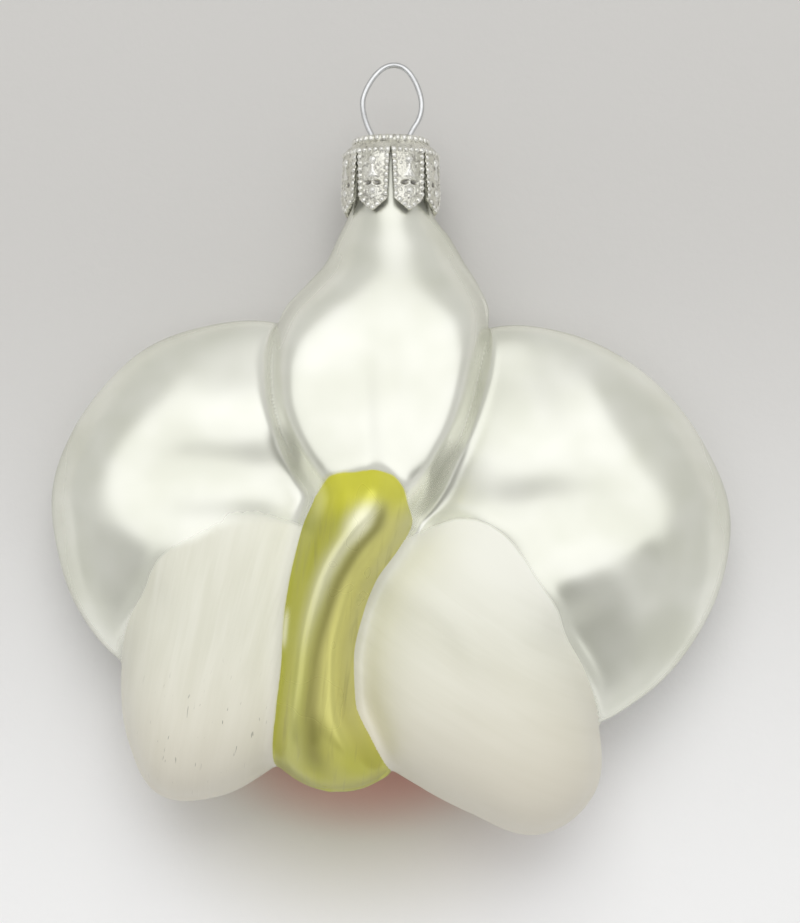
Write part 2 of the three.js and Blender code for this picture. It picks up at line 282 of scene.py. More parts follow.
def strand_place(strand, x, z, inset):
    """Place across a strand: 0 in its middle, 1 or -1 on its edges."""
    left = along(strand, 1, z) + inset
    right = along(strand, 2, z) - inset
    on = (z <= strand[0, 0] + 1e-6) & (z >= strand[-1, 0]) & (right - left > 0.02)
    return np.where(on, (2 * x - left - right) / np.where(on, right - left, 1.0), BEYOND)


def strand_height(strand, x, z, inset, face):
    """Rounded-box section: depth times (1 - |place| to the n) to the 1/n, n from the table."""
    place = np.abs(strand_place(strand, x, z, inset))
    n = along(strand, 5, z)
    depth = np.clip(along(strand, 3 if face == "front" else 4, z) - inset, 0, None)
    return depth * np.clip(1 - np.minimum(place, 1.0) ** n, 0, None) ** (1 / n)


def relief_share(swell):
    """Share of the relief that shows on a swell: it fades out with the swell at the outline."""
    return np.clip(swell / 8, 0, 1)


def lip_height(x, z, inset, face):
    """The lip's swell plus a narrow crest and less a long valley, both bell curves across it."""
    swell = strand_height(LIP, x, z, inset, face)
    if face == "back":
        return swell
    u = strand_place(LIP, x, z, inset)
    crest_at, valley_at, valley_width = [along(LIP_FOLD, k, z) for k in (1, 2, 3)]
    fade = soft_step((-56 - z) / 6) * soft_step((z + 95) / 6)
    crest = LIP_CREST * bell((u - crest_at) / 0.22)
    valley = LIP_VALLEY * fade * bell((u - valley_at) / valley_width)
    return swell + (crest - valley) * relief_share(swell)


def from_midrib(x, z):
    """How far right of the upper sepal's slanting midrib a point lies."""
    return x + 3.2 + 0.05 * (z + 45)


def upper_height(x, z, inset, face):
    """The upper sepal with a thin raised midrib that runs down to the lip and a shallow trough
    beside it, both bell curves across x."""
    swell = strand_height(UPPER_SEPAL, x, z, inset, face)
    if face == "back":
        return swell
    aside = from_midrib(x, z)
    rib = 0.6 * bell(aside / 0.55) * soft_step((-36 - z) / 8)
    trough = 0.6 * bell((aside - 3.0) / 2.4) * soft_step((-32 - z) / 10)
    return swell + (rib - trough) * relief_share(swell)


def blend(a, b, fillet):
    """The larger of two heights with a round fillet, which fades where both are near zero."""
    top = np.maximum(a, b)
    k = fillet * np.clip(top / 4, 0, 1) + 1e-9
    d = np.clip(k - np.abs(a - b), 0, None) / k
    return top + d * d * k / 4


def bloom_heights(x, z, inset, face):
    """Height of each lobe: both petals together, upper sepal, lower sepals together, lip."""
    left, right, lower_left, lower_right = [
        petal_height(petal, x, z, inset, face)
        for petal in (PETAL_LEFT, PETAL_RIGHT, SEPAL_LEFT, SEPAL_RIGHT)
    ]
    petals = blend(left, right, FILLETS["petals"])
    upper = upper_height(x, z, inset, face)
    return petals, upper, np.maximum(lower_left, lower_right), lip_height(x, z, inset, face)


def hand_waves(x, z, height, longest, shortest, count, seed):
    """Unevenness of hand-blown glass: a sum of sines in seeded directions."""
    draw = np.random.default_rng(seed)
    turn = draw.uniform(0, np.pi, count)
    wave = 2 * np.pi / draw.uniform(shortest, longest, count)
    shift = draw.uniform(0, 2 * np.pi, count)
    total = np.zeros(np.shape(x))
    for t, k, p in zip(turn, wave, shift):
        total += np.sin(k * (x * np.cos(t) + z * np.sin(t)) + p)
    return height * total / math.sqrt(count)


def hammered(x, z):
    """Where the petals are dimpled: a patch on each, strongest on the right."""
    right = bell((x - 29) / 7.5) * bell((z + 61) / 8.5)
    left = 0.5 * bell((x + 24) / 8) * bell((z + 51) / 4)
    return right + left


def bloom_surface(x, z, inset, face):
    """All lobes joined by small fillets into one skin, with hand-blown waves."""
    petals, upper, lower, lip = bloom_heights(x, z, inset, face)
    full = relief_share(petals)
    petals = petals + full * hand_waves(x, z, *PETAL_WAVES)
    petals = petals + full * hammered(x, z) * hand_waves(x, z, *DIMPLES)
    lower = lower + relief_share(lower) * hand_waves(x, z, *LOWER_WAVES)
    upper = upper + relief_share(upper) * hand_waves(x, z, *UPPER_WAVES)
    skin = blend(petals, upper, FILLETS["upper"])
    return blend(blend(skin, lower, FILLETS["lower"]), lip, FILLETS["lip"])


def softened_grid(inset, face):
    """Heights on an even grid, averaged by a bell curve along x and then along z, which rounds
    every crease and step as blown glass is rounded."""
    x, z = np.meshgrid(np.arange(*GRID_X, GRID_STEP), np.arange(*GRID_Z, GRID_STEP))
    heights = bloom_surface(x, np.minimum(z, NECK_TOP), inset, face)
    if inset > 0:
        # the coarse inner skin stays under the lowest place near it, clear of creases and folds
        near = range(-6, 7, 2)
        for axis in (0, 1):
            heights = np.minimum.reduce([np.roll(heights, k, axis=axis) for k in near])
    taps = np.arange(-12, 13)
    weights = np.exp(-((taps * GRID_STEP / CREASE_SPREAD) ** 2) / 2)
    weights /= weights.sum()
    for axis in (0, 1):
        heights = sum(w * np.roll(heights, k, axis=axis) for k, w in zip(taps, weights))
    return heights


def read_grid(grid, x, z):
    """Catmull-Rom reading of the grid in both directions."""
    u = (x - GRID_X[0]) / GRID_STEP
    v = (z - GRID_Z[0]) / GRID_STEP
    i, j = np.floor(u).astype(int), np.floor(v).astype(int)
    f, g = u - i, v - j

    def weights(t):
        return (
            0.5 * t * (-1 + t * (2 - t)), 1 + 0.5 * t * t * (3 * t - 5),
            0.5 * t * (1 + t * (4 - 3 * t)), 0.5 * t * t * (t - 1),
        )

    total = 0.0
    for row, wv in zip((-1, 0, 1, 2), weights(g)):
        for column, wu in zip((-1, 0, 1, 2), weights(f)):
            total = total + wv * wu * grid[j + row, i + column]
    return total


def middle_y(x, z):
    """The flower's mid-surface: its foot comes forward, its petal tips go back."""
    return 1.5 * (x / 45) ** 2 - forward_lean(z)


def inside_outline(x, z, inset):
    """Whether points lie inside any lobe."""
    inside = np.zeros(np.shape(x), bool)
    for petal in (PETAL_LEFT, PETAL_RIGHT, SEPAL_LEFT, SEPAL_RIGHT):
        inside |= petal_out(petal, x, z, inset) < 1
    for strand in (UPPER_SEPAL, LIP):
        inside |= np.abs(strand_place(strand, x, z, inset)) < 1
    return inside


def ray_lengths(angles, inset):
    """Distance from the bloom's centre to its outline along each ray: the farthest of many
    samples that is inside, then made exact by halving."""
    step = 0.15
    samples = np.arange(0.3, 60, step)
    x = samples * np.cos(angles)[:, None]
    z = CENTRE_Z + samples * np.sin(angles)[:, None]
    inside = inside_outline(x, z, inset)
    low = samples[len(samples) - 1 - np.argmax(inside[:, ::-1], axis=1)]
    high = low + step
    for _ in range(20):
        half = (low + high) / 2
        good = inside_outline(half * np.cos(angles), CENTRE_Z + half * np.sin(angles), inset)
        low = np.where(good, half, low)
        high = np.where(good, high, half)
    return low


def bloom_rays(counts, rim_radius, inset):
    """Ends of the rays: first those on the neck's rim from right to left, then round the outline.
    Rays lie closer beside the neck and under the lip."""
    rim, sides, lip, rest = counts
    phi = np.pi * (0.5 - np.arange(rim + 1) / rim)
    rim_turn = math.atan(rim_radius / (NECK_TOP - CENTRE_Z))
    shoulder = 0.75
    start, finish = np.pi / 2 + rim_turn, 2.5 * np.pi - rim_turn
    lip_from, lip_to = np.radians(225), np.radians(285)
    left_part = lip_from - start - shoulder
    left = int(round(rest * left_part / (left_part + finish - shoulder - lip_to)))
    angles = np.concatenate([
        start + shoulder * np.linspace(0, 1, sides, endpoint=False)[1:] ** 1.2,
        np.linspace(start + shoulder, lip_from, left, endpoint=False),
        np.linspace(lip_from, lip_to, lip, endpoint=False),
        np.linspace(lip_to, finish - shoulder, rest - left, endpoint=False),
        finish - shoulder * np.linspace(1, 0, sides, endpoint=False) ** 1.2,
    ])
    r = ray_lengths(angles, inset)
    x = np.concatenate([rim_radius * np.sin(phi), r * np.cos(angles)])
    z = np.concatenate([np.full(rim + 1, NECK_TOP), CENTRE_Z + r * np.sin(angles)])
    rim_y = np.concatenate([rim_radius * np.cos(phi), np.zeros(len(angles))])
    return x, z, rim_y


def ring_places(rings):
    """Places of the rings from the middle, 0, towards the outline, 1: even, then closing up."""
    even = int(rings * 0.88)
    close = np.sin(np.linspace(0, np.pi / 2, rings - even + 1))
    return np.concatenate([np.linspace(0, 0.92, even, endpoint=False), 0.92 + 0.08 * close])[:-1]


def bloom_sheet(end_x, end_z, rings, inset, face):
    """Front or back half of a skin, rings by rays. The rings' places are shares of the length
    over the surface, evened out over seven rays, so a steep wall gets its part of them. Heights
    come from the softened grid, but the low ones by the outline come from the formula."""
    grid = softened_grid(inset, face)
    rise_z = end_z - CENTRE_Z
    fine = np.linspace(0, 1, 401)
    rise = np.diff(read_grid(grid, fine[:, None] * end_x, CENTRE_Z + fine[:, None] * rise_z), axis=0)
    run = np.hypot(end_x, rise_z) / (len(fine) - 1)
    length = np.vstack([np.zeros(len(end_x)), np.cumsum(np.hypot(run, rise), axis=0)])
    length /= length[-1]
    length = sum(np.roll(length, k, axis=1) for k in range(-3, 4)) / 7
    places = ring_places(rings)
    out = np.stack([np.interp(places, ray, fine) for ray in length.T], axis=-1)
    x, z = out * end_x, CENTRE_Z + out * rise_z
    soft = read_grid(grid, x, z)
    exact = bloom_surface(x, z, inset, face)
    middle = soft_step((22 - np.hypot(x, z - CENTRE_Z)) / 4)
    height = exact + (soft - exact) * np.maximum(soft_step((soft - 2) / 3), middle)
    side = -1.0 if face == "front" else 1.0
    return np.stack([x, middle_y(x, z) + side * height, z], axis=-1)


def grid_quads(rows, closed, turned):
    """Four-sided faces between rows of point numbers, all round or open, facing either way."""
    if closed:
        rows = np.hstack([rows, rows[:, :1]])
    a, b, c, d = rows[:-1, :-1], rows[:-1, 1:], rows[1:, 1:], rows[1:, :-1]
    return np.stack([a, b, c, d] if turned else [a, d, c, b], axis=-1).reshape(-1, 4)


def fan(row, tip, turned):
    """Triangles between a tip and a closed row of point numbers, facing either way."""
    tips, ahead = np.full(len(row), tip), np.roll(row, -1)
    return np.stack([tips, ahead, row] if turned else [tips, row, ahead], axis=-1)


def bloom_skin(counts, rings, inset):
    """One closed skin but for the neck: a front and a back sheet over the same rays, which share
    the outline. Returns points, quads, triangles and the rim's rows in front and behind."""
    x, z, rim_y = bloom_rays(counts, NECK_RADIUS - inset, inset)
    rim, rays = counts[0], len(x)
    front = bloom_sheet(x, z, rings[0], inset, "front")
    back = bloom_sheet(x, z, rings[1], inset, "back")
    y = middle_y(x, z)
    edge_front = np.stack([x, y - rim_y, z], axis=-1)
    edge_back = np.stack([x, y + rim_y, z], axis=-1)[1:rim]
    points = np.concatenate([
        front[0, :1], back[0, :1], front[1:].reshape(-1, 3), edge_front, edge_back,
        back[1:].reshape(-1, 3),
    ])
    front_index = 2 + np.arange((len(front) - 1) * rays).reshape(-1, rays)
    edge_index = 2 + front_index.size + np.arange(rays)
    back_edge = edge_index.copy()
    back_edge[1:rim] = edge_index[-1] + np.arange(1, rim)
    back_index = edge_index[-1] + rim + np.arange((len(back) - 1) * rays).reshape(-1, rays)
    front_rows = np.vstack([front_index, edge_index])
    back_rows = np.vstack([back_index, back_edge])
    quads = np.concatenate([grid_quads(front_rows, True, False), grid_quads(back_rows, True, True)])
    triangles = np.concatenate([fan(front_rows[0], 0, False), fan(back_rows[0], 1, True)])
    return points, quads, triangles, edge_index[: rim + 1], back_edge[: rim + 1]


def bloom_mesh(wall):
    """Outer skin and inner skin of the hollow glass, joined by a flat ring at the neck."""
    outer, quads_o, tris_o, front_o, back_o = bloom_skin(OUTER_RAYS, OUTER_RINGS, 0.0)
    inner, quads_i, tris_i, front_i, back_i = bloom_skin(INNER_RAYS, INNER_RINGS, wall)
    shift = len(outer)
    ring_front = grid_quads(np.stack([front_o, front_i + shift]), False, True)
    ring_back = grid_quads(np.stack([back_o, back_i + shift]), False, False)
    quads = np.concatenate([quads_o, quads_i[:, ::-1] + shift, ring_front, ring_back])
    triangles = np.concatenate([tris_o, tris_i[:, ::-1] + shift])
    return np.concatenate([outer, inner]), quads, triangles


def make_piece(name, points, quads, triangles, material):
    """A mesh object from points in millimetres and index arrays, written in one go."""
    mesh = bpy.data.meshes.new(name)
    loops = np.concatenate([quads.ravel(), triangles.ravel()]).astype(np.int32)
    sizes = np.concatenate([np.full(len(quads), 4), np.full(len(triangles), 3)])
    starts = np.concatenate([[0], np.cumsum(sizes)[:-1]]).astype(np.int32)
    mesh.vertices.add(len(points))
    mesh.vertices.foreach_set("co", (points * 0.001).astype(np.float32).ravel())
    mesh.loops.add(len(loops))
    mesh.loops.foreach_set("vertex_index", loops)
    mesh.polygons.add(len(sizes))
    mesh.polygons.foreach_set("loop_start", starts)
    mesh.polygons.foreach_set("use_smooth", np.ones(len(sizes), bool))
    mesh.update(calc_edges=True)
    mesh.validate()
    mesh.materials.append(material)
    piece = bpy.data.objects.new(name, mesh)
    bpy.context.scene.collection.objects.link(piece)
    return piece


def add_masks(piece, masks):
    """Named numbers per point, kept with the mesh for its material."""
    for name, values in masks.items():
        attribute = piece.data.attributes.new(name, "FLOAT", "POINT")
        attribute.data.foreach_set("value", values.astype(np.float32).ravel())


class Nodes:
    """Short hand for laying out a tree of shader nodes."""

    def __init__(self, tree):
        self.tree = tree

    def add(self, kind, **settings):
        node = self.tree.nodes.new(kind)
        for key, value in settings.items():
            setattr(node, key, value)
        return node

    def link(self, out, into):
        self.tree.links.new(out, into)

    def feed(self, socket, value):
        """Link a socket to another node's output, or give it a number, vector or colour."""
        if hasattr(value, "is_linked"):
            self.link(value, socket)
        else:
            socket.default_value = (*value, 1.0) if socket.type == "RGBA" else value

    def fill(self, node, values):
        for key, value in values.items():
            self.feed(node.inputs[key], value)

    def math(self, operation, *values):
        node = self.add("ShaderNodeMath", operation=operation)
        for socket, value in zip(node.inputs, values):
            self.feed(socket, value)
        return node.outputs[0]

    def plus(self, a, b):
        return self.math("ADD", a, b)

    def less(self, a, b):
        return self.math("SUBTRACT", a, b)

    def times(self, a, b):
        return self.math("MULTIPLY", a, b)

    def reach(self, a, b):
        return self.math("SQRT", self.plus(self.times(a, a), self.times(b, b)))

    def attribute(self, name):
        return self.add("ShaderNodeAttribute", attribute_name=name).outputs["Fac"]

    def own_place(self):
        return self.add("ShaderNodeTexCoord").outputs["Object"]

    def split(self, vector):
        node = self.add("ShaderNodeSeparateXYZ")
        self.link(vector, node.inputs[0])
        return node.outputs

    def over_surface(self, across, lengthwise):
        """A flat place on the surface from two attributes."""
        node = self.add("ShaderNodeCombineXYZ")
        self.link(self.attribute(across), node.inputs[0])
        self.link(self.attribute(lengthwise), node.inputs[1])
        return node.outputs[0]

    def ramp(self, value, low, high, to_low=0.0, to_high=1.0):
        """Soft step while the value goes from low to high."""
        node = self.add("ShaderNodeMapRange", interpolation_type="SMOOTHSTEP")
        bounds = {"From Min": low, "From Max": high, "To Min": to_low, "To Max": to_high}
        self.fill(node, {"Value": value, **bounds})
        return node.outputs["Result"]

    def mix(self, amount, a, b, kind="RGBA"):
        """Colour or number a where the amount is 0, b where it is 1."""
        node = self.add("ShaderNodeMix", data_type=kind)
        first, result = (6, 2) if kind == "RGBA" else (2, 0)
        for place, value in ((0, amount), (first, a), (first + 1, b)):
            self.feed(node.inputs[place], value)
        return node.outputs[result]

    def noise(self, vector, scale, detail=2.0, roughness=0.5, distortion=0.0):
        node = self.add("ShaderNodeTexNoise")
        self.fill(node, {"Vector": vector, "Scale": scale, "Detail": detail})
        self.fill(node, {"Roughness": roughness, "Distortion": distortion})
        return node.outputs["Fac"]

    def stretched(self, vector, scale):
        node = self.add("ShaderNodeMapping")
        self.fill(node, {"Vector": vector, "Scale": scale})
        return node.outputs["Vector"]

    def bump(self, shader, height, distance, strength=1.0):
        node = self.add("ShaderNodeBump")
        self.fill(node, {"Height": height, "Distance": distance, "Strength": strength})
        self.link(node.outputs["Normal"], shader.inputs["Normal"])


def new_material(name):
    """An empty node material with a Principled shader wired to its output."""
    material = bpy.data.materials.new(name)
    material.use_nodes = True
    material.node_tree.nodes.clear()
    n = Nodes(material.node_tree)
    shader = n.add("ShaderNodeBsdfPrincipled")
    output = n.add("ShaderNodeOutputMaterial")
    n.link(shader.outputs["BSDF"], output.inputs["Surface"])
    return material, n, shader, output


def lacquered_glass(look):
    """Pearl lacquer over silvered glass, brushed matte white on the lower sepals and glossy
    yellow-green lacquer on the lip. The lobe heights kept with the mesh set the borders."""
    material, n, shader, _ = new_material("lacquered_glass")
    coords = n.own_place()
    cloud = n.noise(coords, 90.0, 2.0, 0.55)
    wobble = n.times(n.less(n.noise(coords, 700.0, 1.0), 0.5), 0.6)
    lip = n.ramp(n.plus(n.attribute("lip_edge"), wobble), -0.5, 0.3)
    white = n.ramp(n.plus(n.attribute("lower_edge"), n.times(wobble, 0.4)), -0.15, 0.35)
    white = n.times(white, n.less(1.0, lip))
    rose = n.attribute("rose")
    # brush strokes: noise drawn out along each lobe
    stroke = n.over_surface("stroke_across", "stroke_along")
    streaks = n.noise(n.stretched(stroke, (1.1, 0.1, 1.0)), 1.0, 3.0, 0.55, 0.5)
    broad = n.noise(n.stretched(stroke, (0.3, 0.07, 1.0)), 1.0, 1.0, 0.5, 0.6)
    chips = n.noise(n.stretched(stroke, (1.9, 0.5, 1.0)), 1.0, 1.0, 0.6, 0.5)
    brushed = n.plus(n.times(streaks, 0.4), n.times(broad, 0.6))
    # pearl, with painted shade beside the midrib
    pearl = n.mix(n.ramp(cloud, 0.25, 0.75), look.pearl_shade, look.pearl_light)
    pearl = n.mix(n.times(n.attribute("rib_shade"), 0.15), pearl, look.pearl_shade)
    # matte white with painted shade, darker and warmer towards the foot, and a painted highlight at the top
    # of the right sepal, with chips
    x, _, z = n.split(coords)
    matte = n.mix(n.ramp(brushed, 0.3, 0.7), look.white_shade, look.white_light)
    matte = n.mix(n.ramp(z, -0.07, -0.098, 0.0, 0.8), matte, look.white_foot_painted_shade)
    matte = n.mix(n.ramp(n.plus(n.times(x, 0.35), z), -0.074, -0.056), matte, look.white_top_painted_highlight)
    matte = n.mix(n.times(n.ramp(chips, 0.7, 0.75), n.attribute("fleck")), matte, look.fleck)
    # the lip: green outside, paler inside, crest pale from worn lacquer and painted highlight, painted
    # highlights at the crest's top and left edge, painted olive shade in the fold and along the lower rim
    green = n.mix(n.attribute("lip_inner"), look.lip_flank, look.lip_inner)
    green = n.mix(n.ramp(brushed, 0.35, 0.7, 0.0, 0.3), green, look.lip_inner)
    green = n.mix(n.ramp(streaks, 0.52, 0.72, 0.0, 0.35), green, look.lip_olive_and_fold_shade)
    for mask, amount, tone in (
        ("lip_top", 0.8, look.lip_top), ("lip_crest_wear_and_highlight", 0.8, look.lip_crest_wear_and_highlight),
        ("lip_painted_highlight", 0.9, look.lip_painted_highlight), ("lip_olive_and_fold_shade", 0.85, look.lip_olive_and_fold_shade),
        ("lip_rim_painted_shade", 0.6, look.lip_olive_and_fold_shade),
    ):
        green = n.mix(n.times(n.attribute(mask), amount), green, tone)
    paint = n.mix(rose, n.mix(white, pearl, matte), look.rose)
    # a thin wash of the lip's green where the brush ran over the crease
    wash = n.times(n.ramp(n.attribute("lip_edge"), -2.0, -0.1, 0.0, 0.28), n.ramp(broad, 0.35, 0.6))
    paint = n.mix(wash, paint, look.lip_inner)
    metal = n.mix(n.math("MAXIMUM", white, rose), look.pearl_metal, 0.0, "FLOAT")
    metal = n.times(metal, n.less(1.0, n.times(n.attribute("crease"), 0.8)))
    rough = n.mix(white, look.pearl_rough, 0.4, "FLOAT")
    rough = n.mix(lip, rough, 0.28, "FLOAT")
    n.fill(shader, {
        "Base Color": n.mix(lip, paint, green),
        "Metallic": n.mix(lip, metal, look.lip_metal, "FLOAT"),
        "Roughness": n.plus(rough, n.times(n.less(cloud, 0.5), 0.06)),
        "Specular Tint": (0.7, 0.7, 0.67), "Coat Weight": 0.15, "Coat Roughness": 0.12,
    })
    # faint bristle marks in the paint
    n.bump(shader, n.times(streaks, white), 0.00002)
    return material


def stamped_metal(look):
    """Bright silver-coloured sheet, a little worn on the raised beads, dull in the hollows and
    pitted on the ground."""
    material, n, shader, _ = new_material("stamped_metal")
    coords = n.own_place()
    smear = n.noise(coords, 500.0, 3.0)
    relief = n.attribute("relief")
    tone = n.mix(n.ramp(smear, 0.3, 0.7), look.cap_shade, look.cap_light)
    tone = n.mix(n.ramp(relief, 0.04, 0.2), tone, look.cap_bead)
    hollows = n.ramp(relief, -0.22, 0.02, 1.0, 0.0)
    pits = n.ramp(n.noise(coords, 1700.0), 0.54, 0.64, 0.0, 0.55)
    pits = n.times(pits, n.ramp(relief, 0.16, 0.06))
    n.fill(shader, {
        "Base Color": n.mix(n.math("MAXIMUM", hollows, pits), tone, look.cap_hollow),
        "Metallic": 1.0,
        "Roughness": n.ramp(smear, 0.25, 0.75, 0.14, 0.3),
    })
    n.bump(shader, n.plus(n.noise(coords, 3000.0, 3.0), smear), 0.00012)
    return material


def drawn_wire(look):
    """Grey spring steel with faint draw lines along the wire."""
    material, n, shader, _ = new_material("drawn_wire")
    line = n.over_surface("around", "along")
    draw = n.noise(n.stretched(line, (6.0, 0.35, 1.0)), 1.0, 3.0, 0.6)
    smear = n.noise(n.own_place(), 700.0)
    n.fill(shader, {
        "Base Color": n.mix(n.ramp(draw, 0.3, 0.7), look.wire_shade, look.wire_light),
        "Metallic": 1.0,
        "Specular Tint": (0.3, 0.31, 0.33),
        "Roughness": n.ramp(smear, 0.25, 0.75, 0.12, 0.22),
    })
    n.bump(shader, draw, 0.00005, 0.5)
    return material


def stage_paper(look):
    """Pale paper with painted light, darker above and lighter below. It shows its front only, so
    that the ornament can be looked at from behind."""
    material, n, shader, output = new_material("stage_paper")
    coords = n.own_place()
    x, _, z = n.split(coords)
    rise = n.plus(z, n.times(n.less(n.noise(coords, 9.0, 3.0), 0.5), 0.03))
    # painted light: the paper darker above the ornament, lighter below
    tone = n.mix(n.ramp(rise, -0.125, -0.01), look.paper_lit_below, look.paper_shaded_above)
    # warm shade under the foot, and in it rose light thrown on the paper by the painted back
    shade = n.reach(n.plus(x, 0.005), n.plus(z, 0.09))
    tone = n.mix(n.ramp(shade, 0.036, 0.004, 0.0, 0.8), tone, look.paper_shade)
    glow = n.reach(n.times(n.plus(x, 0.004), 0.55), n.plus(z, 0.092))
    tone = n.mix(n.ramp(glow, 0.0125, 0.004, 0.0, 0.6), tone, look.paper_rose)
    n.fill(shader, {"Base Color": tone, "Roughness": 0.75, "Specular IOR Level": 0.2})
    n.bump(shader, n.noise(coords, 900.0, 3.0), 0.0002, 0.15)
    clear = n.add("ShaderNodeBsdfTransparent")
    front_only = n.add("ShaderNodeMixShader")
    n.link(n.add("ShaderNodeNewGeometry").outputs["Backfacing"], front_only.inputs[0])
    n.link(shader.outputs["BSDF"], front_only.inputs[1])
    n.link(clear.outputs["BSDF"], front_only.inputs[2])
    n.link(front_only.outputs["Shader"], output.inputs["Surface"])
    return material


def colour(name, description, default):
    """A colour that a user can change."""
    return bpy.props.FloatVectorProperty(
        name=name, description=description, subtype="COLOR", size=3, min=0, max=1, default=default)


def share(name, description, default):
    """A share from 0 to 1 that a user can change."""
    return bpy.props.FloatProperty(
        name=name, description=description, subtype="FACTOR", min=0, max=1, default=default)


def thickness(name, description, default):
    """A thickness in metres that a user can change."""
    return bpy.props.FloatProperty(
        name=name, description=description, subtype="DISTANCE", unit="LENGTH", precision=5,
        min=0.0001, max=0.003, default=default)


class OrnamentSizes(bpy.types.PropertyGroup):
    """Thicknesses of the ornament's glass, sheet and wire."""

    glass_wall: thickness("Glass wall", "Thickness of the blown glass", 0.001)
    cap_sheet: thickness("Cap sheet", "Thickness of the stamped sheet", 0.00035)
    wire_radius: thickness("Wire radius", "Half the thickness of the wire", 0.00035)


class OrnamentLook(bpy.types.PropertyGroup):
    """Colours and finishes of the ornament and its stage."""

    pearl_light: colour("Pearl, light", "Lightest tone of the pearl lacquer", (0.93, 0.935, 0.86))
    pearl_shade: colour("Pearl, shade", "Darkest tone of the pearl lacquer", (0.8, 0.81, 0.71))
    pearl_metal: share("Pearl silvering", "How far silvering shows through the lacquer", 0.72)
    pearl_rough: share("Pearl roughness", "Softness of reflections in the lacquer", 0.26)
    white_light: colour("White, light", "Lightest tone of the matte white", (0.755, 0.75, 0.655))
    white_shade: colour("White, shade", "Thin places in the matte white", (0.69, 0.685, 0.58))
    # painted highlight at the top of the lower sepals, strongest on the right
    white_top_painted_highlight: colour("White, top", "Clear tone at the top of the right sepal", (0.86, 0.86, 0.79))
    # painted shade: darker and warmer towards the foot
    white_foot_painted_shade: colour("White, foot", "Warm tone of the matte white at the foot", (0.7, 0.65, 0.55))
    fleck: colour("Fleck", "Dark flecks where the matte white has chipped", (0.26, 0.25, 0.21))
    lip_flank: colour("Lip, outer side", "Deepest tone of the yellow-green", (0.47, 0.47, 0.04))
    lip_inner: colour("Lip, inner side", "Pale yellow of the lip's inner side", (0.66, 0.63, 0.2))
    lip_top: colour("Lip, top", "Clear yellow at the top of the lip", (0.74, 0.72, 0.07))
    # pale crest: lacquer worn thin, and a painted highlight along the crest
    lip_crest_wear_and_highlight: colour("Lip, crest", "Lacquer worn thin on the crest", (0.8, 0.79, 0.56))
    # painted highlight: a pale spot at the crest's top and a streak by the lip's left edge
    lip_painted_highlight: colour("Lip, shine", "Nearly bare pearl at the crest's top", (0.97, 0.96, 0.7))
    # olive of the lip's darker brush streaks, also painted shade in the fold and along the lower rim
    lip_olive_and_fold_shade: colour("Lip, fold", "Olive where the lacquer ran together", (0.3, 0.28, 0.08))
    lip_metal: share("Lip silvering", "How far silvering shows through the lip's lacquer", 0.4)
    rose: colour("Rose", "Rose paint on the back of the lower half", (0.72, 0.24, 0.24))
    cap_light: colour("Cap, light", "Lightest tone of the cap's ground", (0.95, 0.94, 0.86))
    cap_shade: colour("Cap, shade", "Smeared tone of the cap's ground", (0.76, 0.75, 0.66))
    cap_bead: colour("Cap, beads", "Tone of the raised beads", (0.98, 0.975, 0.93))
    cap_hollow: colour("Cap, hollows", "Dull tone of hollows and pits", (0.3, 0.29, 0.27))
    wire_light: colour("Wire, light", "Lightest tone of the wire", (0.92, 0.93, 0.94))
    wire_shade: colour("Wire, shade", "Darkest tone of the wire", (0.6, 0.61, 0.62))
    paper_shade: colour("Paper, shade", "Warm shade under the ornament's foot", (0.56, 0.545, 0.41))
    paper_rose: colour("Paper, rose", "Rose light thrown by the painted back", (0.64, 0.27, 0.23))
    # painted light on the paper: darker above the ornament, lighter below
    paper_shaded_above: colour("Paper, above", "Paper above the ornament", (0.605, 0.595, 0.58))
    paper_lit_below: colour("Paper, below", "Paper below the ornament", (0.9, 0.9, 0.905))


def in_millimetres(length):
    """A property's length in millimetres, without the rounding of its 32 bits."""
    return round(length * 1000, 4)


